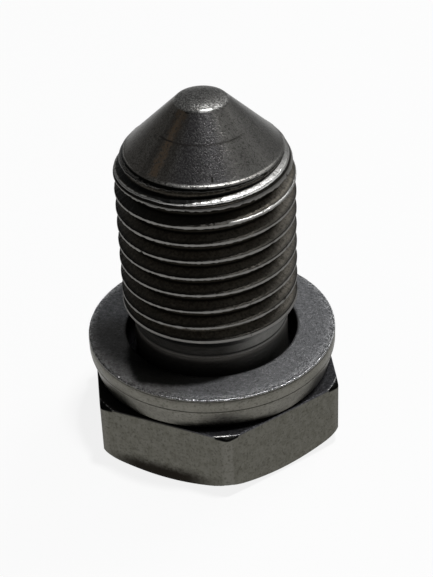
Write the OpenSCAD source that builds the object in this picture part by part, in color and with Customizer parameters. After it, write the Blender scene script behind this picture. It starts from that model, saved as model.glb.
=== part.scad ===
// Oil drain plug: a hexagon-headed screw plug with a fine metric thread and
// a cone point, and the sealing ring that its thread keeps on the neck.
// It stands on the outer face of its head. Z runs up the axis to the point.

/* [Head] */
// Width of the hexagon across its flats
across_flats = 18.9; // [16:0.1:24]
// Height of the head, from its outer face to the face under the ring
head_height = 5.8; // [4.5:0.1:10]
// Radius of the six upright edges
edge_radius = 0.6; // [0.2:0.05:1.2]
// How far the outer flat face lies inside the flats
face_inset = 0.47; // [0.2:0.01:1]
// Slope of the turned bevel round the outer face, in degrees
bevel_slope = 29; // [20:1:40]
// Radius where that bevel turns into the upright edges
bevel_radius = 1.3; // [0.4:0.1:1.6]
// How far the seat's flat face lies inside the corners
seat_inset = 0.35; // [0.1:0.05:0.6]
// Height of the bevel round the seat
seat_bevel = 0.2; // [0.1:0.05:0.5]

/* [Neck] */
// How much smaller than the thread the plain neck is, in radius
neck_relief = 0.8; // [0.3:0.05:1.5]
// Length of the neck, from the head to the full width of the thread
neck_length = 6.2; // [4.5:0.1:12]
// Length of the slope from the neck out to the thread
neck_slope = 0.35; // [0.2:0.05:0.8]
// Radius of the corner between neck and head
neck_fillet = 0.4; // [0.1:0.05:0.6]

/* [Thread] */
// Diameter over the crests
thread_d = 13.8; // [13.4:0.1:18]
// Distance from one crest to the next
pitch = 1.5; // [1:0.25:2]
// Depth of the groove, from crest to root
thread_depth = 0.88; // [0.5:0.01:1]
// Width of the crest
crest_width = 0.2; // [0.1:0.05:0.4]
// Length of the threaded part, from the neck to the cone
thread_length = 13; // [8:0.5:30]
// Length of the taper that leads into the thread
lead_length = 1.35; // [0.5:0.05:3]
// How much that taper takes off the radius
lead_drop = 0.62; // [0.3:0.01:0.9]
// Direction in which the groove starts, in degrees round the axis
start_angle = 8; // [0:1:359]

/* [Point] */
// Slope of the cone's side against the axis, in degrees
cone_slope = 45; // [35:1:60]
// Diameter of the blunt nose
nose_d = 3.84; // [1:0.02:6]
// Radius of the nose's domed end
dome_radius = 4.8; // [3.5:0.1:20]
// Rounding of the edge between the cone and the dome
nose_edge = 0.4; // [0.1:0.05:1]
// Radius of the worn edge between cone and thread
shoulder_radius = 0.5; // [0.1:0.05:1]

/* [Sealing ring] */
// Width of the ring, from its hole to its rim
ring_width = 3.03; // [1.5:0.01:5]
// Thickness of the ring
ring_thickness = 3.1; // [1:0.05:4]
// How much smaller than the thread the hole is in radius, so that it stays on
ring_hold = 0.05; // [0.02:0.01:0.3]
// Bevel round the hole on both faces
ring_hole_bevel = 0.12; // [0.06:0.01:0.4]
// Height of the upright rim of the ring
rim_height = 1.15; // [0.4:0.05:2]
// Rounding of the rim's upper edge
rim_radius = 0.15; // [0.05:0.01:0.3]
// How far the foot of the ring lies inside its rim
foot_inset = 0.45; // [0.1:0.05:1]
// Rounding of the foot's lower edge
foot_radius = 0.25; // [0.1:0.01:0.6]

/* [Hidden] */

// Facets of a full turn in the swept groove, and in each drawn arc
turn_steps = 36;
arc_steps = 8;
// Half the angle between the thread's flanks
flank = 30;
// Share of the crest's width that the groove's cutter takes outside the crest
cutter_share = 0.45;

thread_r = thread_d / 2;
neck_r = thread_r - neck_relief;
seat_z = head_height;
thread_z = seat_z + neck_length;
cone_z = thread_z + thread_length;
cone_r = thread_r - lead_drop;
lead_z = cone_z - lead_length;

corner_r = across_flats / 2 / cos(30);
ring_hole_r = thread_r - ring_hold;
ring_r = ring_hole_r + ring_width;

// Points of an arc round c, from angle a to angle b
function arc(c, r, a, b, n = arc_steps) =
    [for (i = [0:n]) let (t = a + (b - a) * i / n) [c[0] + r * cos(t), c[1] + r * sin(t)]];

// Head
// The flats' outline: a hexagon whose corners give way to cylinders
module hexagon_prism() {
    core_r = corner_r - edge_radius / cos(30);
    cut = edge_radius * tan(30);
    side = [for (k = [0:5], s = [-1, 1])
        let (a = 60 * k, v = [cos(a), sin(a)], w = [cos(a + s * 120), sin(a + s * 120)])
        corner_r * v + cut * w];
    linear_extrude(head_height) polygon(side);
    for (k = [0:5]) rotate([0, 0, 60 * k])
        translate([core_r, 0, 0]) cylinder(r = edge_radius, h = head_height, $fn = 48);
}

// The turned outline: a bevel round each end, the outer one rounded at the corners
module head_turning() {
    arc_c = [corner_r - bevel_radius, 0];
    touch_r = arc_c[0] + bevel_radius * sin(bevel_slope);
    touch_z = (touch_r - across_flats / 2 + face_inset) * tan(bevel_slope);
    centre = [arc_c[0], touch_z + bevel_radius * cos(bevel_slope)];
    rotate_extrude($fn = 96) polygon(concat(
        [[0, 0], [across_flats / 2 - face_inset, 0]],
        arc(centre, bevel_radius, bevel_slope - 90, 0),
        [[corner_r, seat_z - seat_bevel], [corner_r - seat_inset, seat_z], [0, seat_z]]));
}

module head() intersection() {
    hexagon_prism();
    head_turning();
}

// Shank
// Where the cone's rounded shoulder touches its neighbours
lead_slope = atan(lead_drop / lead_length);
shoulder_turn = cone_slope - lead_slope;
shoulder_cut = shoulder_radius * tan(shoulder_turn / 2);
shoulder_c = [cone_r + shoulder_cut * sin(lead_slope) - shoulder_radius * cos(lead_slope),
    cone_z - shoulder_cut * cos(lead_slope) - shoulder_radius * sin(lead_slope)];

// Centre of the dome that closes the cone at the nose's diameter, and of the edge's
// rounding, which touches the cone's side and the dome from inside
apex_z = cone_z + cone_r / tan(cone_slope);
dome_c = [0, apex_z - nose_d / 2 / tan(cone_slope)
    - sqrt(pow(dome_radius, 2) - pow(nose_d / 2, 2))];
inset = [0, apex_z] - nose_edge * [cos(cone_slope), sin(cone_slope)] - dome_c;
down = [sin(cone_slope), -cos(cone_slope)];
slide = -inset * down
    - sqrt(pow(inset * down, 2) - inset * inset + pow(dome_radius - nose_edge, 2));
edge_c = dome_c + inset + slide * down;
edge_turn = atan2(edge_c[1] - dome_c[1], edge_c[0]);

// Outline of neck, thread blank, cone and blunt nose
module blank() rotate_extrude($fn = 96) polygon(concat(
    [[0, seat_z - 1], [neck_r + neck_fillet, seat_z - 1]],
    arc([neck_r + neck_fillet, seat_z + neck_fillet], neck_fillet, -90, -180),
    [[neck_r, thread_z - neck_slope], [thread_r, thread_z], [thread_r, lead_z]],
    arc(shoulder_c, shoulder_radius, lead_slope, cone_slope),
    arc(edge_c, nose_edge, cone_slope, edge_turn),
    arc(dome_c, dome_radius, edge_turn, 90)));

// Groove
// The groove's middle passes the cone's foot at start_angle and winds down from
// there. It begins above the cone's surface and fades out over its last turn.
first_turn = 0.5;
last_turn = -(thread_length + 0.05) / pitch;
fade_power = 2.4;
lip_half = (pitch - crest_width) / 2;
root_half = lip_half - thread_depth * tan(flank);

// How much of the full depth the groove has at a turn
function depth_share(turn) =
    turn > last_turn + 1 ? 1 : 1 - pow(last_turn + 1 - turn, fade_power);

// The groove's section at a turn: its upper lip keeps its place as it fades
function section(turn) =
    let (share = max(depth_share(turn), 0.02),
        a = start_angle + 360 * turn,
        z = cone_z + pitch * turn + lip_half * (1 - share),
        root_r = thread_r - thread_depth * share,
        far_r = thread_r + cutter_share * crest_width / tan(flank),
        far_half = lip_half * share + cutter_share * crest_width)
    [for (p = [[root_r, -root_half * share], [far_r, -far_half],
            [far_r, far_half], [root_r, root_half * share]])
        [p[0] * cos(a), p[0] * sin(a), z + p[1]]];

module groove() {
    steps = ceil((first_turn - last_turn) * turn_steps);
    rings = [for (i = [0:steps])
        section(last_turn + (first_turn - last_turn) * i / steps)];
    sides = [for (i = [0:steps - 1], k = [0:3])
        let (a = 4 * i + k, b = 4 * i + (k + 1) % 4)
        each [[a, b + 4, a + 4], [a, b, b + 4]]];
    last = 4 * steps;
    ends = [[0, 2, 1], [0, 3, 2],
        [last, last + 1, last + 2], [last, last + 2, last + 3]];
    polyhedron([for (ring = rings) each ring], concat(sides, ends));
}

module drain_plug() color([0.36, 0.35, 0.33]) difference() {
    union() {
        head();
        blank();
    }
    groove();
}

// Sealing ring
// A flat-topped ring with an upright rim, drawn in to a narrower foot below
module sealing_ring() color([0.52, 0.52, 0.53]) {
    top = seat_z + ring_thickness;
    foot_r = ring_r - foot_inset;
    rotate_extrude($fn = 96) polygon(concat(
        [[ring_hole_r, seat_z + ring_hole_bevel], [ring_hole_r + ring_hole_bevel, seat_z]],
        arc([foot_r - foot_radius, seat_z + foot_radius], foot_radius, -90, 0),
        [[ring_r, top - rim_height]],
        arc([ring_r - rim_radius, top - rim_radius], rim_radius, 0, 90),
        [[ring_hole_r + ring_hole_bevel, top], [ring_hole_r, top - ring_hole_bevel]]));
}

drain_plug();
sealing_ring();
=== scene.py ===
"""The looks of an oil drain plug: a worn dark steel screw plug that stands on its
hexagon head, and the loose sealing ring that its thread holds on the neck.
Sizes are in millimetres until a mesh is made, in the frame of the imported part.
"""
import math

import bmesh
import bpy
import numpy as np
from mathutils import Matrix, Vector, noise


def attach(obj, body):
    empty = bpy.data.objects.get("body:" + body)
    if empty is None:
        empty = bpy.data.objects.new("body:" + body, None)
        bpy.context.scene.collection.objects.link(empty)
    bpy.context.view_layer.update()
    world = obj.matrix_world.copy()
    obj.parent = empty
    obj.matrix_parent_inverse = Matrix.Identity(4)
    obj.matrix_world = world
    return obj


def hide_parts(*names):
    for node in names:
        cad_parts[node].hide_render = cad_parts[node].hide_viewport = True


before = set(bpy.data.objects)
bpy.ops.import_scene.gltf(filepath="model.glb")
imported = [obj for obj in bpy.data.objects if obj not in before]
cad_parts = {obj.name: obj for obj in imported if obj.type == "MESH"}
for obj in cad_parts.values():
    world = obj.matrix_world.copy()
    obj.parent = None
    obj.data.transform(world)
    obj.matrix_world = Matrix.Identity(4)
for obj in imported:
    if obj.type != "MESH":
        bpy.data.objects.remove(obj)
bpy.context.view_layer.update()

MM = 0.001

# Sizes of the head, as in the part's source
ACROSS_FLATS = 18.9
HEAD_HEIGHT = 5.8
EDGE_RADIUS = 0.6
FACE_INSET = 0.47
BEVEL_SLOPE = 29.0
BEVEL_RADIUS = 1.3
SEAT_DROP = 0.2
CORNER_R = ACROSS_FLATS / 2 / math.cos(math.radians(30))

# Sizes of the shank
NECK_R = 6.1
NECK_FILLET = 0.4
NECK_SLOPE = 0.35
THREAD_R = 6.9
THREAD_Z = 12.0
THREAD_LENGTH = 13.0
PITCH = 1.5
THREAD_DEPTH = 0.88
CREST_WIDTH = 0.2
CONE_Z = THREAD_Z + THREAD_LENGTH
CONE_R = 6.28
LEAD_LENGTH = 1.35
LEAD_Z = CONE_Z - LEAD_LENGTH
START_ANGLE = 8.0
SHOULDER_RADIUS = 0.5
APEX_Z = CONE_Z + CONE_R
NOSE_R = 1.92
DOME_RADIUS = 4.8
NOSE_EDGE = 0.4

# The taper's slope, the worn bead round the cone's foot, and where the seat's flat ends
LEAD_TAPER = (THREAD_R - CONE_R) / LEAD_LENGTH
FOOT_Z = 25.33
BEAD = 0.04
SEAT_EDGE_R = 10.42

# The groove's section, and the turns over which it fades out
FLANK = math.tan(math.radians(30))
LIP_HALF = (PITCH - CREST_WIDTH) / 2
ROOT_HALF = LIP_HALF - THREAD_DEPTH * FLANK
LAST_TURN = -(THREAD_LENGTH + 0.05) / PITCH
FADE_POWER = 2.4

# The folded crest at the cone. Its upper lip rises above the thread's line by an amount
# that falls with the turns down from its widest place. The valley under the lip is
# dropped a little, fully where it is widest, and not at all lower down
FOLD_TOP = 24.32
FOLD_RISE = 0.56
FOLD_FALL = 0.66
FOLD_LEAST = 0.13
FOLD_START = (-0.45, -0.1)
FOLD_DROP = 0.06
DROP_FULL, DROP_NONE = 0.317, 0.352

# Turns of the thread's first and last rows, and the heights of the plain rings between
# which the thread's mesh lies. Rows this close to those rings join them
FIRST_ROW_TURN, LAST_ROW_TURN = -10, 2
LOW_RING_Z, HIGH_RING_Z = THREAD_Z + 0.06, CONE_Z + 0.28
SNAP = 0.015

# Points closer than this become one
WELD = 0.002

# Sizes of the sealing ring, the height of the seam on its side, and its rim's dents
RING_R = 9.88
RING_HOLE_R = 6.85
RING_TOP = HEAD_HEIGHT + 3.1
RIM_RADIUS = 0.15
FOOT_INSET = 0.45
FOOT_RADIUS = 0.25
HOLE_BEVEL = 0.12
SEAM_Z = 7.7
RIM_DENT = 0.035

# The photograph's camera, which looks down at one of the hexagon's corners
IMAGE_HEIGHT = 577
FOCAL_PIXELS = 1680.0
CAMERA_AZIMUTH = 25.67
CAMERA_ELEVATION = 34.84
CAMERA_ROLL = 2.51
CAMERA_PLACE = (47.65, -97.97, 88.13)

# The floor: half its side and how far it lies under the plug, in metres, and how much
# of what the camera sees of it is plain white
FLOOR_HALF = 1.5
FLOOR_DROP = 0.00003
FLOOR_WHITE = 0.85

# The place on the axis that the lamps point at, in metres, and the room's own light
LAMP_TARGET = Vector((0, 0, 0.015))
ROOM_STRENGTH = 0.13


# Camera, floor and light

def add_camera():
    """Puts the camera where the photograph was taken from."""
    azimuth, elevation = math.radians(CAMERA_AZIMUTH), math.radians(CAMERA_ELEVATION)
    roll = math.radians(CAMERA_ROLL)
    side = Vector((math.cos(azimuth), math.sin(azimuth), 0))
    back = Vector((math.sin(azimuth) * math.cos(elevation),
                   -math.cos(azimuth) * math.cos(elevation), math.sin(elevation)))
    up = back.cross(side)
    right = side * math.cos(roll) - up * math.sin(roll)
    top = side * math.sin(roll) + up * math.cos(roll)
    data = bpy.data.cameras.new("camera")
    data.sensor_fit, data.sensor_width = "AUTO", 36.0
    data.lens = FOCAL_PIXELS * data.sensor_width / IMAGE_HEIGHT
    data.clip_start, data.clip_end = 0.01, 20.0
    camera = bpy.data.objects.new("camera", data)
    camera.matrix_world = Matrix.Translation(Vector(CAMERA_PLACE) * MM) @ Matrix(
        (right, top, back)).transposed().to_4x4()
    bpy.context.scene.collection.objects.link(camera)
    bpy.context.scene.camera = camera


def add_lamp(name, azimuth, elevation, distance, size, power):
    """Adds a round area lamp that points at the middle of the plug. Azimuth 0 is the
    camera's own side, 90 is on its right."""
    a, e = math.radians(azimuth + CAMERA_AZIMUTH), math.radians(elevation)
    way = Vector((math.sin(a) * math.cos(e), -math.cos(a) * math.cos(e), math.sin(e)))
    data = bpy.data.lights.new(name, "AREA")
    data.shape, data.size, data.energy = "DISK", size, power
    lamp = bpy.data.objects.new(name, data)
    lamp.location = way * distance + LAMP_TARGET
    lamp.rotation_mode = "QUATERNION"
    lamp.rotation_quaternion = (-way).to_track_quat("-Z", "Y")
    bpy.context.scene.collection.objects.link(lamp)


# Shader nodes

class Wire:
    """One output of a node. Sums written with it add Math nodes to its tree."""

    def __init__(self, tree, socket):
        self.tree, self.socket = tree, socket

    def math(self, operation, *values):
        return self.tree.node("ShaderNodeMath", {"operation": operation},
                              dict(enumerate(values)))

    def __add__(self, other):
        return self.math("ADD", self, other)

    def __sub__(self, other):
        return self.math("SUBTRACT", self, other)

    def __rsub__(self, other):
        return self.math("SUBTRACT", other, self)

    def __mul__(self, other):
        return self.math("MULTIPLY", self, other)

    def __truediv__(self, other):
        return self.math("DIVIDE", self, other)

    __radd__, __rmul__ = __add__, __mul__

    def power(self, other):
        return self.math("POWER", self, other)

    def least(self, other):
        return self.math("MINIMUM", self, other)

    def most(self, other):
        return self.math("MAXIMUM", self, other)

    def size(self):
        return self.math("ABSOLUTE", self)

    def wrapped(self, span):
        """What is left when whole spans are taken off."""
        return self.math("FLOORED_MODULO", self, span)

    def rise(self, low, high):
        """0 below low and 1 above high, smooth between."""
        return self.tree.node(
            "ShaderNodeMapRange", {"interpolation_type": "SMOOTHSTEP", "clamp": True},
            {"Value": self, "From Min": low, "From Max": high,
             "To Min": 0.0, "To Max": 1.0})

    def fall(self, low, high):
        """1 below low and 0 above high, smooth between."""
        return self.rise(high, low)

    def near(self, middle, half):
        """1 at a value, falling smoothly to 0 at half a width from it."""
        return (self - middle).size().fall(0.0, half)


class Tree:
    """A node tree and the few steps that its shaders are built from."""

    # Numbers of the colour sockets of a Mix node
    MIX_FACTOR, MIX_BELOW, MIX_ABOVE, MIX_RESULT = 0, 6, 7, 2

    def __init__(self, owner):
        owner.use_nodes = True
        self.nodes, self.links = owner.node_tree.nodes, owner.node_tree.links
        self.nodes.clear()

    def node(self, kind, settings=None, inputs=None, out=0):
        """Adds a node, sets it up, and gives the output that is asked for."""
        made = self.nodes.new(kind)
        for name, value in (settings or {}).items():
            setattr(made, name, value)
        for name, value in (inputs or {}).items():
            if isinstance(value, Wire):
                self.links.new(value.socket, made.inputs[name])
            else:
                made.inputs[name].default_value = value
        return Wire(self, made.outputs[out]) if len(made.outputs) else made

    def vector(self, x, y, z):
        return self.node("ShaderNodeCombineXYZ", None, {"X": x, "Y": y, "Z": z})

    def blend(self, mask, below, above):
        """Colour below where the mask is 0, and above where it is 1."""
        colours = [(*c, 1.0) if isinstance(c, tuple) else c for c in (below, above)]
        return self.node("ShaderNodeMix", {"data_type": "RGBA"},
                         {self.MIX_FACTOR: mask, self.MIX_BELOW: colours[0],
                          self.MIX_ABOVE: colours[1]}, out=self.MIX_RESULT)

    def noise(self, place, scale, detail, rough):
        return self.node("ShaderNodeTexNoise", {"noise_dimensions": "3D"},
                         {"Vector": place, "Scale": scale, "Detail": detail,
                          "Roughness": rough})


class Place:
    """Where a point of the surface is: its millimetres, and its direction in degrees
    anticlockwise from X. In the photograph the front is at 296, the left at 206 and the
    right at 26."""

    def __init__(self, tree):
        self.tree = tree
        metres = tree.node("ShaderNodeTexCoord", out="Object")
        self.point = tree.node("ShaderNodeVectorMath", {"operation": "SCALE"},
                               {0: metres, "Scale": 1 / MM})
        split = tree.node("ShaderNodeSeparateXYZ", None, {0: self.point}).socket.node
        self.x, self.y, self.z = (Wire(tree, split.outputs[k]) for k in range(3))
        self.radius = (self.x * self.x + self.y * self.y).power(0.5)
        self.angle = self.x.math("ARCTAN2", self.y, self.x) * math.degrees(1)

    def stretched(self, x, y, z):
        """Coordinates for marks that are longer one way."""
        return self.tree.node("ShaderNodeVectorMath", {"operation": "MULTIPLY"},
                              {0: self.point, 1: (x, y, z)})

    def mark(self, angle, top, bottom, half):
        """1 on a short upright mark at a direction, half its width in millimetres."""
        edge = 0.4 * half
        return (self.across(angle).fall(half - edge, half + edge)
                * self.z.rise(bottom - 0.08, bottom) * self.z.fall(top, top + 0.08))

    def round_axis(self, across, along):
        """Coordinates for marks that run round the axis: fine in height and radius,
        long on the way round."""
        safe = self.radius.most(0.01)
        # The radius counts too, so that faces square to the axis get rings
        height = self.z + self.radius * 0.77
        return self.tree.vector(self.x / safe * along, self.y / safe * along,
                                height * across)

    def turned_from(self, start):
        """Degrees on from a direction, anticlockwise: -180 to 180."""
        return (self.angle - start + 540.0).wrapped(360.0) - 180.0

    def across(self, middle):
        """Millimetres round the surface from a direction, on either side of it."""
        return self.turned_from(middle).size() * self.radius * math.radians(1)

    def facing(self, middle, inner, outer):
        """1 within the inner angle of a direction, and 0 beyond the outer angle."""
        return self.turned_from(middle).size().fall(inner, outer)


def material(name):
    made = bpy.data.materials.new(name)
    return made, Tree(made)


# Finishes

# Colours of the head and of its seat, as linear values
HEAD_DARK = (0.096, 0.093, 0.077)
HEAD_LIGHT = (0.130, 0.126, 0.108)
HEAD_STREAK = (0.14, 0.136, 0.12)
HEAD_PIT = (0.045, 0.042, 0.033)
HEAD_SPECK = (0.15, 0.146, 0.13)
HEAD_CORNER = (0.15, 0.145, 0.128)
HEAD_STAIN_AND_SHADE = (0.009, 0.007, 0.005)
SEAT_DARK = (0.055, 0.055, 0.06)
SEAT_LIGHT = (0.11, 0.11, 0.12)
SEAT_SHADE = (0.02, 0.019, 0.018)
SEAT_BEVEL_SHADE = (0.006, 0.006, 0.0055)
SEAT_WORN_LINE_AND_GLINT = (0.5, 0.49, 0.47)

# Colours of the neck
NECK_DARK = (0.022, 0.021, 0.018)
NECK_LIGHT = (0.036, 0.034, 0.031)
NECK_LIT_DARK = (0.24, 0.236, 0.22)
NECK_LIT_LIGHT = (0.29, 0.285, 0.268)
NECK_LINE = (0.006, 0.0055, 0.005)
NECK_REFLECTED_BAND = (0.21, 0.198, 0.18)
NECK_FOOT = (0.06, 0.057, 0.051)
NECK_UNDER_THREAD_SHADE = (0.004, 0.004, 0.0035)

# Colours of the thread: the grime in its groove with painted light and shade, its crests,
# and the folded crest with its painted glint and shade
GRIME_DARK = (0.040, 0.034, 0.025)
GRIME_LIGHT = (0.098, 0.084, 0.064)
GRIME_CLOUD = (0.040, 0.035, 0.027)
GROOVE_PAINTED_LIGHT = (0.13, 0.118, 0.096)
GROOVE_ROOT_SHADE = (0.020, 0.0175, 0.0135)
UNDER_CREST_SHADE = (0.02, 0.018, 0.014)
BESIDE_CREST_SHADE = (0.004, 0.0035, 0.003)
CREST = (0.20, 0.195, 0.184)
BELOW_FOLD_SHADE = (0.014, 0.0125, 0.01)
FOLD_DULL = (0.17, 0.168, 0.16)
FOLD_SPARKLE_AND_GLINT = (0.85, 0.84, 0.82)
FOLD_GAP_SHADE = (0.003, 0.003, 0.0025)
FOLD_FURROW_SHADE = (0.016, 0.0145, 0.012)
LEAD_SHADE = (0.004, 0.004, 0.0035)

# Colours of the cone and of its nose
CONE_DARK = (0.14, 0.136, 0.126)
CONE_LIGHT = (0.172, 0.168, 0.156)
CONE_SHADE = (0.078, 0.072, 0.063)
CONE_BLUISH_SHADE = (0.050, 0.048, 0.052)
CONE_RIGHT_SHADE = (0.042, 0.041, 0.038)
CONE_SPECK = (0.18, 0.177, 0.169)
CONE_PIT = (0.018, 0.017, 0.016)
CONE_BLOTCH = (0.02, 0.019, 0.018)
CONE_STREAK = (0.125, 0.085, 0.052)
STREAK_EDGE = (0.028, 0.025, 0.022)
CONE_LINE = (0.025, 0.022, 0.02)
CONE_NICK_AND_BURR_SHADOW = (0.008, 0.007, 0.006)
CONE_FOOT_WEAR_AND_GLINT = (0.42, 0.41, 0.39)
NOSE_DARK = (0.075, 0.074, 0.07)
NOSE_LIGHT = (0.25, 0.247, 0.237)
NOSE_PIT = (0.035, 0.034, 0.032)
NOSE_GLINT = (0.75, 0.74, 0.72)

# Colours of the ring's side, its hole and its top
SIDE_DARK = (0.138, 0.133, 0.113)
SIDE_LIGHT = (0.175, 0.169, 0.147)
SIDE_STREAK = (0.155, 0.15, 0.13)
SIDE_PIT = (0.06, 0.057, 0.047)
SIDE_FOOT_SHADE = (0.012, 0.011, 0.009)
RIM_LINE = (0.015, 0.014, 0.012)
SEAM_LINE = (0.03, 0.028, 0.024)
HOLE_GREY = (0.05, 0.05, 0.05)
TOP_DARK = (0.20, 0.202, 0.209)
TOP_LIGHT = (0.29, 0.293, 0.301)
TOP_BRIGHT = (0.42, 0.42, 0.43)
TOP_PIT = (0.07, 0.071, 0.076)
TOP_BLOTCH = (0.08, 0.081, 0.087)
TOP_WORN = (0.6, 0.6, 0.61)
TOP_LEFT_SHADE = (0.085, 0.076, 0.062)
TOP_SHANK_SHADOW = (0.006, 0.006, 0.005)

# Radii between which the wear along the head's upright corners sets in
CORNER_WEAR = (10.62, 10.76)

# Heights between which one part of the plug's finish gives way to the next
HEAD_TO_SEAT = (5.6, 5.75)
SEAT_END = (6.0, 6.3)
NECK_START = (5.9, 6.2)
NECK_TO_THREAD = (11.75, 11.85)
THREAD_TO_CONE = (25.2, 25.26)
CONE_TO_NOSE = (29.15, 29.3)

# Heights of the lines that the lathe left on neck and cone, of the neck's band of painted
# reflected light, and of the nose's edge
NECK_LINE_Z = 10.3
NECK_REFLECTED_BAND_Z = 9.88
CONE_LINE_Z = 27.5
NOSE_EDGE_Z = 29.28

# Distance of the bumps' height, in metres, and the reflections' grey at a grazing angle
BUMP_SIZE = 0.04 * MM
PLUG_EDGE_TINT = 0.6
RING_EDGE_TINT = 0.8


class Metal(Place):
    """A metal part's surface: its places, and the noises that its finish is made of.
    They are set by the scales of the mottle and of the specks, the upright streaks'
    squeeze and detail, and how fine the lathe's marks are across and along."""

    def __init__(self, tree, mottle, specks, streaks, turning):
        super().__init__(tree)
        squeeze, detail = streaks
        self.mottle = tree.noise(self.point, mottle, 4.0, 0.6)
        self.grain = tree.noise(self.point, 5.0, 3.0, 0.6)
        self.specks = tree.noise(self.point, specks, 2.0, 0.7)
        self.upright = tree.noise(self.stretched(1.0, 1.0, squeeze), 5.0, detail, 0.6)
        self.turned = tree.noise(self.round_axis(*turning), 1.0, 4.0, 0.65)


class Winding:
    """Where a point lies on the thread."""

    def __init__(self, place):
        z = place.z
        wound = (z - CONE_Z) / PITCH - (place.angle - START_ANGLE) / 360
        # Millimetres above the nearest crest's line
        self.above = (wound.wrapped(1.0) - 0.5) * PITCH
        # Turns down the thread from the folded crest's widest place
        self.down = (FOLD_TOP - z + self.above) / PITCH
        # Millimetres in from the surface that the crests touch
        crests = (THREAD_R - (z - LEAD_Z).most(0.0) * LEAD_TAPER).least(APEX_Z - z)
        self.sunk = crests - place.radius


def finish_metal(metal, colour, roughness, height, metallic, edge_tint):
    """The metal shader of a part: its colour, roughness, small bumps and the grey of
    its reflections at a grazing angle."""
    tree = metal.tree
    bump = tree.node("ShaderNodeBump", None,
                     {"Strength": 1.0, "Distance": BUMP_SIZE, "Height": height})
    shader = tree.node("ShaderNodeBsdfPrincipled", None, {
        "Base Color": colour, "Metallic": metallic, "Roughness": roughness,
        "Specular Tint": (edge_tint, edge_tint, edge_tint, 1.0), "Normal": bump})
    tree.node("ShaderNodeOutputMaterial", None, {"Surface": shader})


def head_colour(metal, on_head):
    """Blotches and faint upright streaks, lighter corners, and low on the front a brown
    band of grime and painted shade, where the faces would reflect the floor's shadow."""
    blend, z, grain = metal.tree.blend, metal.z, metal.grain
    steel = blend(metal.mottle.rise(0.3, 0.7), HEAD_DARK, HEAD_LIGHT)
    steel = blend(metal.upright.rise(0.45, 0.7) * 0.5, steel, HEAD_STREAK)
    steel = blend(grain.fall(0.3, 0.52) * 0.6, steel, HEAD_PIT)
    steel = blend(metal.specks.rise(0.55, 0.72) * 0.5, steel, HEAD_SPECK)
    corner = metal.radius.rise(*CORNER_WEAR) * on_head
    steel = blend(corner * grain.rise(0.2, 0.65) * 0.8, steel, HEAD_CORNER)
    # Painted shade with a grime-brown tint: the floor's shadow as the lower edge of the
    # front faces would reflect it
    low_down = (z + 0.5 * metal.mottle + 0.3 * grain).fall(1.35, 2.45)
    low_painted_shade = metal.facing(268.0, 12.0, 32.0) * low_down * on_head
    return blend(low_painted_shade * 0.96, steel, HEAD_STAIN_AND_SHADE)


def add_seat(metal, steel, on_seat):
    """The seat's flat, shaded on the left, and its bevel in painted shade, with a worn line
    between them that has a painted glint at the front corner."""
    blend, z, radius, grain = metal.tree.blend, metal.z, metal.radius, metal.grain
    seat = blend(grain.rise(0.4, 0.7), SEAT_DARK, SEAT_LIGHT)
    seat = blend(metal.facing(245.0, 30.0, 50.0), seat, SEAT_SHADE)
    steel = blend(on_seat, steel, seat)
    # Painted shade on the seat's bevel
    bevel = radius.rise(SEAT_EDGE_R - 0.01, SEAT_EDGE_R + 0.03) * z.rise(5.5, 5.6)
    steel = blend(bevel * z.fall(5.8, 5.85), steel, SEAT_BEVEL_SHADE)
    edge = radius.near(SEAT_EDGE_R - 0.04, 0.07) * z.rise(5.74, 5.78) * z.fall(5.85, 5.95)
    # The worn line is bright all round where the grain allows, and fully at the front
    # corner, where that is a painted glint
    painted_front_glint = metal.facing(297.5, 2.8, 3.8)
    edge = edge * (painted_front_glint + 0.5 * grain.rise(0.5, 0.58)).least(1.0)
    return blend(edge, steel, SEAT_WORN_LINE_AND_GLINT)


def neck_colour(metal):
    """Dull, with painted light on its right side, a dark line turned round it, a lighter
    band of painted reflected light, a mid grey at its foot and painted shade under the
    thread.
    """
    blend, z = metal.tree.blend, metal.z
    neck = blend(metal.turned.rise(0.35, 0.65), NECK_DARK, NECK_LIGHT)
    # Painted light on the neck's right side, far brighter than the rest of the neck
    painted_lit_side = metal.facing(352.0, 14.0, 52.0)
    lit_colour = blend(metal.mottle.rise(0.3, 0.7), NECK_LIT_DARK, NECK_LIT_LIGHT)
    neck = blend(painted_lit_side, neck, lit_colour)
    neck = blend(z.near(NECK_LINE_Z, 0.16), neck, NECK_LINE)
    # A band of painted reflected light low on the neck
    neck = blend(z.near(NECK_REFLECTED_BAND_Z, 0.46) * 0.95, neck, NECK_REFLECTED_BAND)
    # Painted light at the neck's foot: a mid grey that dims the reflected band there and
    # lifts the neck below it
    neck = blend(z.fall(9.6, 9.9) * 0.6, neck, NECK_FOOT)
    # Painted shade on the neck just under the thread, except on the lit right side
    return blend(z.rise(11.0, 11.12) * (1 - painted_lit_side), neck, NECK_UNDER_THREAD_SHADE)


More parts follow.
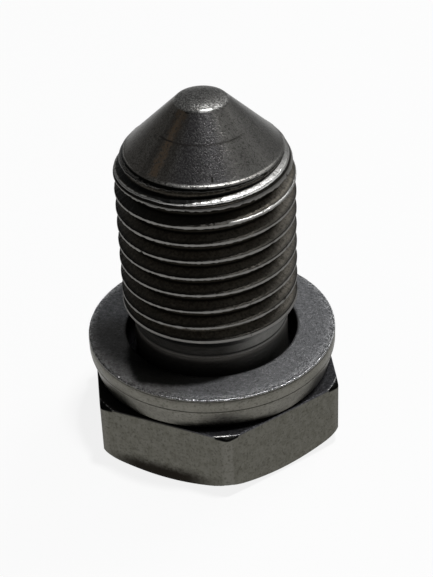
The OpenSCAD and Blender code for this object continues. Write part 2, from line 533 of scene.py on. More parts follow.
def groove_colour(metal, winding):
    """Grime in the groove, with painted light on its right side, painted shade at the root,
    under and beside the crests and on the turn below the fold, and a worn light line along
    each crest."""
    blend, sunk, down, grain = metal.tree.blend, winding.sunk, winding.down, metal.grain
    grime = blend(grain.rise(0.35, 0.65), GRIME_DARK, GRIME_LIGHT)
    grime = blend(metal.mottle.rise(0.35, 0.65) * 0.5, grime, GRIME_CLOUD)
    # Painted light on the grooves' right side, where lamps from the right would reach in
    painted_light_right = metal.facing(338.0, 24.0, 52.0) * grain.rise(0.3, 0.6)
    grime = blend(painted_light_right * 0.8, grime, GROOVE_PAINTED_LIGHT)
    # Painted shade deep in the groove's root
    grime = blend(sunk.rise(0.62, 0.84), grime, GROOVE_ROOT_SHADE)
    # Painted shade on the flank under each crest, darkest right beside it, where the crest
    # above keeps the light off
    grime = blend(sunk.fall(0.14, 0.3) * 0.8, grime, UNDER_CREST_SHADE)
    grime = blend(sunk.fall(0.07, 0.14) * 0.7, grime, BESIDE_CREST_SHADE)
    # Painted shade on the turn below the folded crest, whose flank the lamp would light
    below_fold = down.rise(1.15, 1.22) * down.fall(1.5, 1.7)
    grime = blend(below_fold * 0.9, grime, BELOW_FOLD_SHADE)
    return blend(sunk.fall(0.012, 0.035), grime, CREST)


def add_fold(metal, winding, thread):
    """The folded crest beside the cone: a clean band above its valley, with a painted glint
    that is brightest on the right, and painted shade in the gap over it and in the furrow
    under it.
    Gives the colour, and where the band is."""
    blend, facing = metal.tree.blend, metal.facing
    above, down, sunk = winding.above, winding.down, winding.sunk
    on_fold = down.fall(0.65, 0.85) * down.rise(-0.4, -0.3)
    lip = (FOLD_RISE - FOLD_FALL * down).most(FOLD_LEAST)
    valley = lip * 0.7 - 0.036 - down.fall(DROP_FULL, DROP_NONE) * FOLD_DROP
    top = lip + 0.055 - facing(276.0, 5.0, 15.0) * 0.085 + facing(340.0, 28.0, 48.0) * 0.05
    band = (above - valley).rise(0.03, 0.06) * (top - above).rise(-0.02, 0.02)
    next_turn = down.rise(0.72, 0.9) * down.fall(1.17, 1.215) * above.rise(0.06, 0.09)
    clean = (band * on_fold).most(next_turn * sunk.fall(0.07, 0.1))
    # Sparkle of the burnished band in the grain, with a painted glint that is strongest on
    # the right
    bright = metal.grain.rise(0.28, 0.52) * (0.15 + 0.85 * facing(318.0, 18.0, 62.0))
    thread = blend(clean, thread, blend(bright, FOLD_DULL, FOLD_SPARKLE_AND_GLINT))
    # Painted shade in the gap over the band
    gap = (above - top).rise(0.01, 0.04) * (top + 0.3 - above).rise(0.0, 0.1)
    thread = blend(gap * on_fold, thread, FOLD_GAP_SHADE)
    # Painted shade in the furrow under the band
    furrow = (valley - above).fall(0.11, 0.17) * (above - valley).fall(0.02, 0.06) * on_fold
    thread = blend(furrow, thread, FOLD_FURROW_SHADE)
    before_fold = down.fall(-0.44, -0.36) * sunk.fall(0.01, 0.03)
    return blend(before_fold, thread, LEAD_SHADE), clean


def cone_colour(metal, on_nose, foot):
    """Speckled, darker on the left, with bluish painted shade at the front and painted
    shade on the right, a brown streak, a turned line, a nick, a painted shadow under a burr
    on the nose's edge, a light nose, and a worn foot with a painted glint at the front."""
    blend, z, facing = metal.tree.blend, metal.z, metal.facing
    mottle, grain, specks = metal.mottle, metal.grain, metal.specks
    cone = blend(mottle.rise(0.25, 0.75), CONE_DARK, CONE_LIGHT)
    cone = blend(facing(243.0, 40.0, 56.0), cone, CONE_SHADE)
    # Painted shade with a bluish tint at the cone's front
    cone = blend(facing(293.0, 14.0, 32.0) * 0.85, cone, CONE_BLUISH_SHADE)
    # Painted shade on the right, where the back lamp would light the cone
    cone = blend(facing(14.0, 12.0, 30.0) * 0.7, cone, CONE_RIGHT_SHADE)
    cone = blend(specks.rise(0.5, 0.62) * 0.4, cone, CONE_SPECK)
    cone = blend(specks.fall(0.36, 0.47) * 0.5, cone, CONE_PIT)
    cone = blend(grain.fall(0.34, 0.47) * 0.55, cone, CONE_BLOTCH)
    streak = (metal.across(255.0) + 0.9 * (mottle - 0.5)).fall(0.15, 0.6)
    streak = streak * z.rise(25.35, 25.6)
    cone = blend(streak * grain.rise(0.3, 0.55) * 0.7, cone, CONE_STREAK)
    beside = metal.across(264.0).fall(0.1, 0.5) + metal.across(246.0).fall(0.1, 0.5)
    cone = blend(beside * 0.45, cone, STREAK_EDGE)
    broken = facing(302.0, 35.0, 50.0) * grain.rise(0.3, 0.5) * 0.8
    line = (z + 0.12 * (mottle - 0.5)).near(CONE_LINE_Z, 0.085)
    line = line * (facing(249.0, 7.0, 13.0) + broken)
    cone = blend(line.least(1.0), cone, CONE_LINE)
    foot_nick = metal.mark(angle=301.2, top=25.8, bottom=25.58, half=0.07)
    # Painted shadow under a small burr on the nose's edge
    nose_burr_shadow = metal.mark(angle=266.0, top=29.26, bottom=29.16, half=0.18)
    cone = blend(foot_nick.most(nose_burr_shadow), cone, CONE_NICK_AND_BURR_SHADOW)
    cone = blend(on_nose, cone, nose_colour(metal))
    # Worn bright foot, with a painted glint at the front
    return blend(foot * grain.rise(0.35, 0.5), cone, CONE_FOOT_WEAR_AND_GLINT)


def nose_colour(metal):
    """Light and pitted, with a glint and sparks along its edge."""
    blend, z, facing, grain = metal.tree.blend, metal.z, metal.facing, metal.grain
    nose = blend(metal.specks.rise(0.42, 0.6), NOSE_DARK, NOSE_LIGHT)
    nose = blend(grain.fall(0.3, 0.45) * 0.5, nose, NOSE_PIT)
    glint = z.near(NOSE_EDGE_Z, 0.16) * facing(304.0, 9.0, 17.0) * grain.rise(0.34, 0.44)
    sparks = z.near(NOSE_EDGE_Z + 0.08, 0.28) * facing(322.0, 14.0, 34.0)
    sparks = sparks * grain.rise(0.5, 0.56)
    return blend(glint.most(sparks * 0.8), nose, NOSE_GLINT)


def plug_steel():
    """Dull dark steel: cleaner on the head, speckled on the cone, dirty in the groove, and
    worn bright along the crests, with painted light, shade and glints on head, neck, thread
    and cone."""
    made, tree = material("worn_plug_steel")
    metal = Metal(tree, mottle=1.6, specks=9.0, streaks=(0.15, 4.0), turning=(6.0, 5.0))
    winding = Winding(metal)
    z, mottle, grain, specks = metal.z, metal.mottle, metal.grain, metal.specks

    on_head = z.fall(*HEAD_TO_SEAT)
    on_seat = z.rise(*HEAD_TO_SEAT) * z.fall(*SEAT_END)
    on_neck = z.rise(*NECK_START) * z.fall(*NECK_TO_THREAD)
    on_thread = z.rise(*NECK_TO_THREAD) * z.fall(*THREAD_TO_CONE)
    on_cone = z.rise(*THREAD_TO_CONE)
    on_nose = z.rise(*CONE_TO_NOSE)
    # The worn bead round the cone's foot, towards the front only: its light colour is wear
    # with a painted glint
    foot = z.near(FOOT_Z, 0.13) * metal.facing(310.0, 25.0, 55.0)

    thread, clean = add_fold(metal, winding, groove_colour(metal, winding))
    steel = add_seat(metal, head_colour(metal, on_head), on_seat)
    steel = tree.blend(on_neck, steel, neck_colour(metal))
    steel = tree.blend(on_thread, steel, thread)
    steel = tree.blend(on_cone, steel, cone_colour(metal, on_nose, foot))

    glossy = clean * on_thread
    roughness = (0.40 + 0.06 * (mottle - 0.5) + 0.10 * (specks - 0.5)
                 - 0.10 * on_cone - 0.08 * glossy)
    height = (specks * (0.5 + 0.1 * on_cone) + 0.5 * grain * (1 - on_cone)
              + 0.4 * metal.upright * on_head + 0.8 * metal.turned * on_neck
              + 0.9 * grain * (on_nose + 0.6 * glossy + foot))
    flank = on_thread * winding.sunk.rise(0.04, 0.1) * winding.sunk.fall(0.6, 0.8)
    metallic = 1.0 - 0.5 * flank - 0.35 * on_neck - 0.3 * on_cone
    finish_metal(metal, steel, roughness, height, metallic, PLUG_EDGE_TINT)
    return made


def ring_side_colour(metal):
    """Brownish, with painted shade low at the front's foot, where it would reflect the
    head's dark seat, a dark line under the rim and along the seam, and grey in the hole."""
    blend, z, grain = metal.tree.blend, metal.z, metal.grain
    side = blend(metal.mottle.rise(0.3, 0.7), SIDE_DARK, SIDE_LIGHT)
    side = blend(metal.upright.rise(0.4, 0.7) * 0.4, side, SIDE_STREAK)
    side = blend(grain.fall(0.3, 0.52) * 0.65, side, SIDE_PIT)
    # Painted shade low on the front: the dark seat as the ring's foot would reflect it
    low_painted_shade = (z + 0.5 * metal.mottle).fall(6.3, 6.9) * metal.facing(302.0, 18.0, 34.0)
    side = blend(low_painted_shade * 0.9, side, SIDE_FOOT_SHADE)
    side = blend(z.near(RING_TOP - 0.2, 0.07), side, RIM_LINE)
    side = blend(z.near(SEAM_Z, 0.05), side, SEAM_LINE)
    in_hole = metal.radius.fall(RING_HOLE_R + 0.1, RING_HOLE_R + 0.3)
    return blend(in_hole, side, HOLE_GREY)


def ring_top_colour(metal):
    """Bluish grey with scratches, pits and a bright worn margin, with painted shade on the
    left, and a painted shadow of the shank from the neck to the front left."""
    blend, radius, mottle = metal.tree.blend, metal.radius, metal.mottle
    grain, specks = metal.grain, metal.specks
    scratch = metal.tree.noise(metal.stretched(0.35, 4.0, 1.0), 1.5, 2.0, 0.5)
    top = blend(grain.rise(0.3, 0.7), TOP_DARK, TOP_LIGHT)
    top = blend(scratch.rise(0.64, 0.7) * 0.5, top, TOP_BRIGHT)
    top = blend(specks.fall(0.33, 0.45) * 0.6, top, TOP_PIT)
    top = blend(grain.fall(0.32, 0.42) * 0.6, top, TOP_BLOTCH)
    top = blend(grain.rise(0.58, 0.66) * 0.6, top, TOP_BRIGHT)
    margin = radius.rise(RING_R - 0.75, RING_R - 0.15)
    worn = margin * (grain + 0.4 * specks).rise(0.62, 0.8)
    top = blend(worn * 0.75, top, TOP_WORN)
    # Painted shade on the left, which the shank keeps from the lamps
    top = blend(metal.facing(238.0, 30.0, 50.0) * 0.5, top, TOP_LEFT_SHADE)
    # Painted shadow of the shank, from the hole out towards the front left
    ahead = metal.turned_from(258.0)
    shank_shadow_edge = 9.25 - ahead.most(0.0) * 0.045 - (-3.0 - ahead).most(0.0) * 0.075
    shank_shadow = (shank_shadow_edge + 0.7 * (mottle - 0.5) - radius).rise(-0.4, 0.4)
    return blend(shank_shadow * 0.97, top, TOP_SHANK_SHADOW)


def ring_metal():
    """Dull grey metal, darker on the sides, with scratches and pits on top and a rim
    that is worn bright."""
    made, tree = material("dull_ring_metal")
    metal = Metal(tree, mottle=1.3, specks=10.0, streaks=(0.2, 3.0), turning=(5.0, 6.0))
    grain, specks = metal.grain, metal.specks
    on_top = metal.z.rise(RING_TOP - 0.16, RING_TOP - 0.04)
    colour = tree.blend(on_top, ring_side_colour(metal), ring_top_colour(metal))
    rim = metal.radius.rise(RING_R - 0.2, RING_R - 0.1) * on_top
    roughness = (0.36 + 0.10 * (metal.mottle - 0.5) + 0.12 * (specks - 0.5)
                 + 0.10 * on_top - 0.18 * rim)
    height = (0.6 * grain + 0.5 * specks + 0.4 * metal.upright * (1 - on_top)
              + 0.4 * metal.turned * (1 - on_top) + 0.8 * grain * rim)
    finish_metal(metal, colour, roughness, height, 1.0, RING_EDGE_TINT)
    return made


def floor_white():
    """Pale floor. What the camera and reflections see of it is mostly plain white,
    and the rest of it takes the light, so that it keeps the plug's shadow."""
    made, tree = material("floor_white")
    seen = [tree.node("ShaderNodeLightPath").socket.node.outputs[name]
            for name in ("Is Camera Ray", "Is Glossy Ray", "Is Transmission Ray")]
    seen = [Wire(tree, socket) for socket in seen]
    mask = (seen[0] + seen[1] + seen[2]).least(1.0) * FLOOR_WHITE
    lit = tree.node("ShaderNodeBsdfDiffuse", None, {"Color": (0.9, 0.9, 0.9, 1)})
    plain = tree.node("ShaderNodeEmission", None, {"Color": (1, 1, 1, 1), "Strength": 1.0})
    mixed = tree.node("ShaderNodeMixShader", None, {0: mask, 1: lit, 2: plain})
    tree.node("ShaderNodeOutputMaterial", None, {"Surface": mixed})
    return made


def add_floor():
    """A flat pale floor just under the plug."""
    mesh = bpy.data.meshes.new("floor")
    corners = [(x * FLOOR_HALF, y * FLOOR_HALF, 0)
               for x, y in ((-1, -1), (1, -1), (1, 1), (-1, 1))]
    mesh.from_pydata(corners, [], [(0, 1, 2, 3)])
    mesh.materials.append(floor_white())
    floor = bpy.data.objects.new("floor", mesh)
    floor.location.z = -FLOOR_DROP
    bpy.context.scene.collection.objects.link(floor)


def add_world():
    """A faint even light from all sides."""
    world = bpy.data.worlds.new("room")
    bpy.context.scene.world = world
    tree = Tree(world)
    shade = tree.node("ShaderNodeBackground", None,
                      {"Color": (0.96, 0.98, 1.0, 1), "Strength": ROOM_STRENGTH})
    tree.node("ShaderNodeOutputWorld", None, {"Surface": shade})


# Outlines

def arc(centre, radius, start, end, steps):
    """Points (r, z) of an arc, by angles in degrees."""
    turn = np.radians(np.linspace(start, end, steps + 1))
    return np.column_stack([centre[0] + radius * np.cos(turn),
                            centre[1] + radius * np.sin(turn)])


def nose_outline():
    """The blunt nose: a dome that closes the cone, with a rounded edge between them."""
    dome_z = APEX_Z - NOSE_R - math.sqrt(DOME_RADIUS**2 - NOSE_R**2)
    inset = np.array([0.0, APEX_Z - dome_z]) - NOSE_EDGE * math.sqrt(0.5)
    down = np.array([1.0, -1.0]) * math.sqrt(0.5)
    along = inset @ down
    slide = -along - math.sqrt(along**2 - inset @ inset + (DOME_RADIUS - NOSE_EDGE)**2)
    edge = inset + slide * down + np.array([0.0, dome_z])
    turn = math.degrees(math.atan2(edge[1] - dome_z, edge[0]))
    return np.vstack([arc(edge, NOSE_EDGE, 45, turn, 8),
                      arc((0.0, dome_z), DOME_RADIUS, turn, 90, 14)[1:]])


def blank_outline():
    """Outline (r, z) of the shank without its groove, from the thread up to the tip."""
    lead_slope = math.degrees(math.atan((THREAD_R - CONE_R) / LEAD_LENGTH))
    cut = SHOULDER_RADIUS * math.tan(math.radians(45 - lead_slope) / 2)
    tilt = math.radians(lead_slope)
    shoulder = (CONE_R + cut * math.sin(tilt) - SHOULDER_RADIUS * math.cos(tilt),
                CONE_Z - cut * math.cos(tilt) - SHOULDER_RADIUS * math.sin(tilt))
    return np.vstack([[(THREAD_R, THREAD_Z), (THREAD_R, LEAD_Z)],
                      arc(shoulder, SHOULDER_RADIUS, lead_slope, 45, 12),
                      nose_outline()])


BLANK = blank_outline()


def blank_radius(z):
    """Radius of the shank without its groove, at a height."""
    return np.interp(z, BLANK[:, 1], BLANK[:, 0])


def hexagon_radius(angle):
    """Distance from the axis to the head's upright faces, corners rounded."""
    off = np.radians((np.asarray(angle) + 30) % 60 - 30)
    core = CORNER_R - EDGE_RADIUS / math.cos(math.radians(30))
    flat = ACROSS_FLATS / 2 / np.cos(np.radians(30) - np.abs(off))
    bend = EDGE_RADIUS**2 - (core * np.sin(off))**2
    rounded = core * np.cos(off) + np.sqrt(np.maximum(bend, 0))
    touch = math.atan2(EDGE_RADIUS * 0.5, core + EDGE_RADIUS * math.cos(math.radians(30)))
    return np.where(np.abs(off) < touch, rounded, flat)


def bevel_outline():
    """Outline (r, z) of the turned bevel round the head's outer face."""
    slope = math.radians(BEVEL_SLOPE)
    inner = ACROSS_FLATS / 2 - FACE_INSET
    centre_r = CORNER_R - BEVEL_RADIUS
    touch_z = (centre_r + BEVEL_RADIUS * math.sin(slope) - inner) * math.tan(slope)
    centre = (centre_r, touch_z + BEVEL_RADIUS * math.cos(slope))
    return np.vstack([[(inner, 0)], arc(centre, BEVEL_RADIUS, BEVEL_SLOPE - 90, 0, 24)])


BEVEL = bevel_outline()


def column_angles():
    """Directions of the plug's columns: close together at the head's corners."""
    near = np.arange(-2.4, 2.4 - 1e-9, 0.3)
    wide = np.linspace(2.4, 57.6, 47)[:-1]
    return np.concatenate([60.0 * k + np.concatenate([near, wide]) for k in range(6)])


# Groove

def depth_share(turn):
    """How much of its full depth the groove has at a turn."""
    fade = np.clip(LAST_TURN + 1 - turn, 0, 1)
    return 1 - fade**FADE_POWER


def flank_meets_blank(root_r, root_z, way):
    """Height at which a flank, rising from the root's corner, meets the blank."""
    near, far = np.zeros_like(root_z), np.full_like(root_z, 1.2)
    for _ in range(30):
        middle = (near + far) / 2
        inside = root_r + middle / FLANK < blank_radius(root_z + way * middle)
        near, far = np.where(inside, middle, near), np.where(inside, far, middle)
    return root_z + way * near


def fold_rise(down):
    """How far a crest's upper lip stands above the thread's line."""
    risen = np.maximum(FOLD_RISE - FOLD_FALL * down, FOLD_LEAST)
    risen = np.where(down > 1.3, CREST_WIDTH / 2, risen)
    return np.where(down < FOLD_START[1], np.interp(
        down, FOLD_START, (CREST_WIDTH / 2, FOLD_RISE - FOLD_FALL * FOLD_START[1])), risen)


def around(radius, angles, z):
    """Points at a radius and at some heights, by their directions in degrees."""
    turn = np.radians(np.broadcast_to(angles, np.shape(z)))
    return np.stack([radius * np.cos(turn), radius * np.sin(turn), z], axis=-1)


def roughened(points, size, depth):
    """Noise at each point, for wear that shows in the mesh: 0 to the depth."""
    scaled = np.asarray(points) / size
    return depth * np.array([abs(noise.noise(Vector(p))) for p in scaled.reshape(-1, 3)]
                            ).reshape(scaled.shape[:-1])


class Rows:
    """Heights and radii of the rows that follow the thread. Each turn's rows climb the
    flank under its crest, cross the crest and go down the flank above it."""

    # Shares of the way down a flank, from the crest's lip to the groove's root
    FLANK_STEPS = (0.1, 0.5, 0.9, 1.0)
    # Places across a crest, from its lower lip at -1 to its upper lip at 1. With each
    # go the shares of the fold's depth and of its drop there
    CREST_STEPS = ((-1.0, 0.0, 0.0), (-0.7, 0.0, 0.0), (-0.2, 0.0, 0.0), (0.14, 0.15, 0.6),
                   (0.4, 1.0, 1.0), (0.6, 0.15, 0.8), (0.82, 0.0, 0.0), (1.0, 0.0, 0.0))
    # How deep the fold is, and the rise of the lip from and over which it sets in
    FOLD_DEPTH, FOLD_FROM, FOLD_OVER = 0.17, 0.16, 0.12
    # Share of the groove's depth that is worn off a lip's edge, and the most of it
    EDGE_SHARE, EDGE_MOST = 0.2, 0.03
    # The waves by which the rolled lips stray: their size and depth, where their tops
    # are cut off, and how far they are set back
    WAVE_SIZE, WAVE_DEPTH, WAVE_TOP, WAVE_BACK = 0.42, 0.16, 0.07, 0.02
    # Sizes and depths of the nicks and of the fine wear across the crests, the noise
    # from which a nick shows, and the share of both between the lips
    NICK_SIZE, NICK_FROM, NICK_DEPTH = 0.45, 0.42, 0.15
    FINE_SIZE, FINE_DEPTH = 0.14, 0.02
    BETWEEN_LIPS = 0.6

    def __init__(self, angles):
        self.columns = angles[:, None]
        turns = np.arange(FIRST_ROW_TURN, LAST_ROW_TURN + 1)
        above = turns + self.columns / 360 - START_ANGLE / 360
        crest = CONE_Z + PITCH * above - PITCH / 2
        down = (FOLD_TOP - crest) / PITCH
        rise = fold_rise(down)
        under, over = self.groove_side(above - 1, 1), self.groove_side(above, -1)
        lip_low = np.minimum(under["lip"], crest - CREST_WIDTH / 2)
        lip_high = np.maximum(over["lip"], crest + rise)
        worn = [self.worn_edge(lip_low, under), self.worn_edge(lip_high, over)]
        ragged = self.ragged_lip(crest, worn[0])
        lip_low, lip_high = lip_low - ragged, lip_high + ragged * 0.7

        fold = self.FOLD_DEPTH * np.clip((rise - self.FOLD_FROM) / self.FOLD_OVER, 0, 1)
        drop = FOLD_DROP * np.clip((DROP_NONE - down) / (DROP_NONE - DROP_FULL), 0, 1)
        drop = np.where(fold > 0, drop, 0.0)
        zs, rs = [], []
        for share in reversed(self.FLANK_STEPS):
            self.flank_point(zs, rs, lip_low, under, share, worn[0])
        for place, deep, dropped in self.CREST_STEPS:
            z = (lip_low + lip_high) / 2 + place * (lip_high - lip_low) / 2 - drop * dropped
            on_lip = abs(place) == 1.0
            edge = worn[place > 0] if on_lip else 0.0
            wear = self.crest_wear(z) * (1.0 if on_lip else self.BETWEEN_LIPS)
            zs.append(z)
            rs.append(blank_radius(z) - fold * deep - edge
                      - np.where(over["r"] < blank_radius(z) - 0.1, wear, 0.0))
        for share in self.FLANK_STEPS:
            self.flank_point(zs, rs, lip_high, over, share, worn[1])

        self.per_turn = len(zs)
        z = np.maximum.accumulate(np.stack(zs, axis=2).reshape(len(angles), -1), axis=1)
        r = np.stack(rs, axis=2).reshape(len(angles), -1)
        self.below, self.above = z <= LOW_RING_Z + SNAP, z >= HIGH_RING_Z - SNAP
        self.z = np.clip(z, LOW_RING_Z, HIGH_RING_Z)
        self.r = np.minimum(r, blank_radius(self.z))

    def groove_side(self, turn, way):
        """A groove's root corner and lip on one side: 1 above its middle, -1 below."""
        share = depth_share(turn)
        middle = CONE_Z + PITCH * turn + LIP_HALF * (1 - share)
        root_r = THREAD_R - THREAD_DEPTH * share
        root_z = middle + way * ROOT_HALF * share
        return {"r": root_r, "z": root_z,
                "lip": flank_meets_blank(root_r, root_z, way)}

    def worn_edge(self, lip, side):
        """How far a lip's edge is worn back: nothing where the groove has run out."""
        depth = blank_radius(lip) - side["r"]
        return np.clip(depth * self.EDGE_SHARE, 0, self.EDGE_MOST)

    def ragged_lip(self, crest, worn):
        """How far the rolled lips stray, where the groove hasn't run out."""
        waves = roughened(around(THREAD_R, self.columns, crest), self.WAVE_SIZE,
                          self.WAVE_DEPTH)
        return np.where(worn > 0.01, np.minimum(waves, self.WAVE_TOP) - self.WAVE_BACK, 0.0)

    def crest_wear(self, z):
        """How much is worn off a crest's row: nicks here and there, and fine wear."""
        spots = around(THREAD_R, self.columns, z)
        nicks = np.maximum(roughened(spots, self.NICK_SIZE, 1.0) - self.NICK_FROM, 0)
        return roughened(spots, self.FINE_SIZE, self.FINE_DEPTH) + nicks * self.NICK_DEPTH

    def flank_point(self, zs, rs, lip, side, share, worn):
        """Adds a flank's row, at a share of the way down from its lip."""
        lip_r = blank_radius(lip) - worn
        root_r = np.minimum(side["r"], lip_r)
        zs.append(lip + (side["z"] - lip) * share)
        rs.append(lip_r + (root_r - lip_r) * share)


# Meshes

class Skin:
    """Collects points and faces in millimetres, and makes the piece."""

    def __init__(self):
        self.points, self.faces = [], []

    def add_point(self, z):
        """Adds a point on the axis, and gives its number."""
        self.points.append((0.0, 0.0, z))
        return len(self.points) - 1

    def add_ring(self, radii, heights, angles):
        """Adds one point a column, and gives their numbers."""
        start = len(self.points)
        turn = np.radians(angles)
        self.points += zip(radii * np.cos(turn), radii * np.sin(turn), heights)
        return np.arange(start, len(self.points))

    def add_faces(self, here, there):
        """Fills between two columns of point numbers, from the bottom up."""
        for a, b, c, d in zip(here[:-1], there[:-1], there[1:], here[1:]):
            # Points that rows share at the ends of the thread count once
            corners = [n for k, n in enumerate((a, b, c, d))
                       if n != (a, b, c, d)[k - 1]]
            if len(corners) > 2:
                self.faces.append(corners)

    def make(self, name, finish):
        """Makes the piece in metres, smooth, with its finish."""
        mesh = bpy.data.meshes.new(name)
        points = [tuple(v * MM for v in p) for p in self.points]
        mesh.from_pydata(points, [], self.faces)
        self.weld(mesh)
        mesh.shade_smooth()
        mesh.materials.append(finish)
        piece = bpy.data.objects.new(name, mesh)
        bpy.context.scene.collection.objects.link(piece)
        return piece

    def weld(self, mesh):
        """Joins points that coincide, and deletes those that no face uses."""
        work = bmesh.new()
        work.from_mesh(mesh)
        bmesh.ops.remove_doubles(work, verts=work.verts, dist=WELD * MM)
        bmesh.ops.delete(work, geom=[v for v in work.verts if not v.link_faces],
                         context="VERTS")
        bmesh.ops.recalc_face_normals(work, faces=work.faces)
        work.to_mesh(mesh)
        work.free()


def head_rows(angles):
    """Rows (r, z) from the middle of the outer face up to the thread."""
    hexagon = hexagon_radius(angles)
    bevel_z = np.interp(hexagon, BEVEL[:, 0], BEVEL[:, 1])
    seat_r = np.minimum(hexagon, SEAT_EDGE_R)
    seat_z = HEAD_HEIGHT - SEAT_DROP * (hexagon - seat_r) / (CORNER_R - SEAT_EDGE_R)
    ones = np.ones_like(angles)

    # Outer face and its bevel
    rows = [(ones * r, ones * 0.0) for r in (4.0, 8.0, 8.85)]
    for share in (0.0, 0.08, 0.3, 0.6, 0.85):
        z = bevel_z * share
        rows.append((np.interp(z, BEVEL[:, 1], BEVEL[:, 0]) - 0.01 * (share == 0), z))

    # Upright faces, with a softened edge at either end
    soft = 0.07
    rows.append((hexagon - 0.018, bevel_z + 0.01))
    rows += [(hexagon, bevel_z + up) for up in (soft, 0.3)]
    rows += [(hexagon, bevel_z + (seat_z - bevel_z) * share) for share in (0.25, 0.5, 0.75)]
    rows += [(hexagon, seat_z - 0.3), (hexagon, seat_z - soft),
             (hexagon - 0.012, seat_z - 0.02)]

    # Seat's edge, which is a plain edge where the hexagon cuts the bevel away
    plain = hexagon < SEAT_EDGE_R + 0.03
    rows.append((seat_r - np.where(plain, 0.016, 0.0),
                 HEAD_HEIGHT - np.where(plain, 0.014, 0.025)))
    rows += [(seat_r - inward, ones * HEAD_HEIGHT - drop)
             for inward, drop in ((0.035, 0.008), (0.08, 0.0), (0.3, 0.0))]
    rows += [(ones * r, ones * HEAD_HEIGHT) for r in (8.6, 7.6, 6.8)]

    # Fillet, neck with its turned step, and the slope out to the thread
    fillet = arc((NECK_R + NECK_FILLET, HEAD_HEIGHT + NECK_FILLET), NECK_FILLET,
                 -90, -180, 6)
    slope_z = THREAD_Z - NECK_SLOPE
    neck = [(NECK_R, 6.6), (NECK_R, 7.6), (NECK_R, 8.8), (NECK_R, 9.9),
            (NECK_R + 0.025, 10.03), (NECK_R + 0.025, 10.08), (NECK_R - 0.01, 10.2),
            (NECK_R - 0.01, 11.0), (NECK_R, slope_z - 0.08), (NECK_R + 0.02, slope_z),
            (NECK_R + 0.1, slope_z + 0.06), (THREAD_R - 0.12, THREAD_Z - 0.07),
            (THREAD_R - 0.02, THREAD_Z - 0.01)]
    return rows + [(ones * r, ones * z) for r, z in [*fillet, *neck]]


def cone_rows(angles):
    """Rows (r, z) from above the thread over the worn bead and the cone to the nose."""
    ones = np.ones_like(angles)
    rows = []
    for up, share in ((-0.025, 0.5), (0.0, 1.0), (0.03, 0.75), (0.06, 0.25), (0.1, 0.0)):
        z = FOOT_Z + up
        r = ones * blank_radius(z)
        r += share * (BEAD + roughened(around(r, angles, ones * z), 0.3, 0.05) - 0.02)
        rows.append((r, ones * z))
    nose = nose_outline()
    rows += [(ones * blank_radius(z), ones * z)
             for z in np.linspace(FOOT_Z + 0.1, nose[0, 1], 14)[1:-1]]
    return rows + [(ones * r, ones * z) for r, z in nose[:-1]]


def make_plug(finish):
    """One skin from the outer face to the tip. Its thread's rows follow the helix,
    and meet the plain rows at a flat ring of points on either side."""
    angles = column_angles()
    ones = np.ones_like(angles)
    thread = Rows(angles)

    skin = Skin()
    middle = skin.add_point(0.0)
    lower = [skin.add_ring(r, z, angles) for r, z in head_rows(angles)]
    first = skin.add_ring(ones * THREAD_R, ones * LOW_RING_Z, angles)
    inner = np.stack([skin.add_ring(thread.r[:, k], thread.z[:, k], angles)
                      for k in range(thread.r.shape[1])])
    last = skin.add_ring(ones * blank_radius(HIGH_RING_Z), ones * HIGH_RING_Z, angles)
    inner = np.where(thread.below.T, first, np.where(thread.above.T, last, inner))
    upper = [skin.add_ring(r, z, angles) for r, z in cone_rows(angles)]
    tip = skin.add_point(BLANK[-1, 1])

    bottom = np.stack([np.full(len(angles), middle), *lower, first])
    top = np.stack([last, *upper, np.full(len(angles), tip)])
    # After a whole way round, a row goes on as the row one turn higher
    shifted = np.concatenate([inner[thread.per_turn:, 0],
                              np.full(thread.per_turn, last[0])])
    for k in range(len(angles)):
        there = (k + 1) % len(angles)
        skin.add_faces(bottom[:, k], bottom[:, there])
        skin.add_faces(inner[:, k], inner[:, there] if there else shifted)
        skin.add_faces(top[:, k], top[:, there])
    return skin.make("plug_skin", finish)


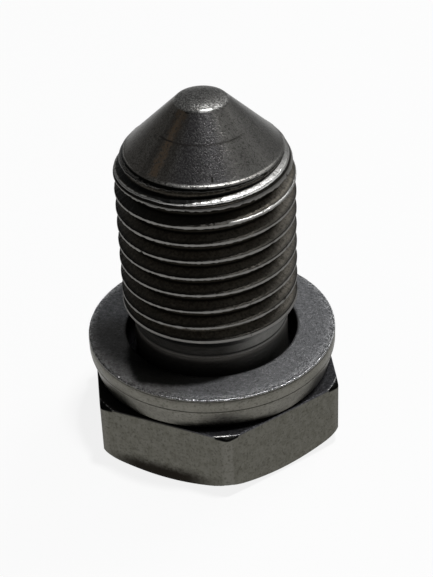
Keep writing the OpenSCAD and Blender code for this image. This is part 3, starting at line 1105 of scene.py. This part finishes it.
def ring_outline():
    """Outline (r, z) of the ring: from its hole over the foot, the side with its seam,
    the rim and the top, and back down the hole."""
    foot_r, foot_z = RING_R - FOOT_INSET, HEAD_HEIGHT + FOOT_RADIUS
    hole_r, hole_edge_r = RING_HOLE_R + HOLE_BEVEL, RING_HOLE_R + 0.05
    foot = arc((foot_r - FOOT_RADIUS, foot_z), FOOT_RADIUS, -90, 0, 8)
    rim = arc((RING_R - RIM_RADIUS, RING_TOP - RIM_RADIUS), RIM_RADIUS, 0, 90, 8)
    side = [(foot_r + (RING_R - foot_r) * share, foot_z + (SEAM_Z - foot_z) * share)
            for share in (0.1, 0.4, 0.7, 0.93)]
    seam = [(RING_R - 0.02, SEAM_Z - 0.04), (RING_R - 0.07, SEAM_Z),
            (RING_R - 0.02, SEAM_Z + 0.04), (RING_R, SEAM_Z + 0.1)]
    band = [(RING_R, SEAM_Z + 0.5), (RING_R, RING_TOP - 0.26),
            (RING_R - 0.04, RING_TOP - 0.21)]
    # The top falls away a little towards the rim
    top = [(r, RING_TOP - 0.05 * max(r - 8.9, 0)**2)
           for r in (9.6, 9.45, 9.3, 9.15, 9.0, 8.8, 8.4, 8.0, 7.4, 7.1)]
    return [(RING_HOLE_R, HEAD_HEIGHT + HOLE_BEVEL), (hole_edge_r, HEAD_HEIGHT + 0.04),
            (hole_r, HEAD_HEIGHT), (8.2, HEAD_HEIGHT), *foot, *side, *seam, *band, *rim,
            *top, (hole_r, RING_TOP), (hole_edge_r, RING_TOP - 0.04),
            (RING_HOLE_R, RING_TOP - HOLE_BEVEL), (RING_HOLE_R, RING_TOP - 1.5)]


def make_ring(finish):
    """The ring, turned from its outline, with small dents along its rim."""
    angles = np.arange(0, 360, 0.6)
    ones = np.ones_like(angles)
    skin = Skin()
    rows = []
    for r, z in ring_outline():
        on_rim = r > RING_R - 0.2 and z > RING_TOP - 0.16
        dent = roughened(around(r, angles, ones * z), 0.16, RIM_DENT if on_rim else 0.0)
        rows.append(skin.add_ring(ones * r - dent, ones * z - dent, angles))
    rows = np.stack([*rows, rows[0]])
    for k in range(len(angles)):
        skin.add_faces(rows[:, k], rows[:, (k + 1) % len(angles)])
    return skin.make("sealing_ring_skin", finish)


# Assembly

bpy.context.scene.view_settings.view_transform = "Standard"
add_camera()
add_world()
add_floor()
add_lamp("key_lamp", azimuth=78, elevation=79, distance=0.5, size=0.06, power=1.8)
add_lamp("back_lamp", azimuth=134, elevation=36, distance=0.6, size=0.3, power=0.72)
add_lamp("fill_lamp", azimuth=74, elevation=11, distance=0.7, size=0.5, power=0.15)

plug = make_plug(plug_steel())
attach(plug, "plug")
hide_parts("drain_plug")

ring = make_ring(ring_metal())
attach(ring, "ring")
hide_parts("sealing_ring")
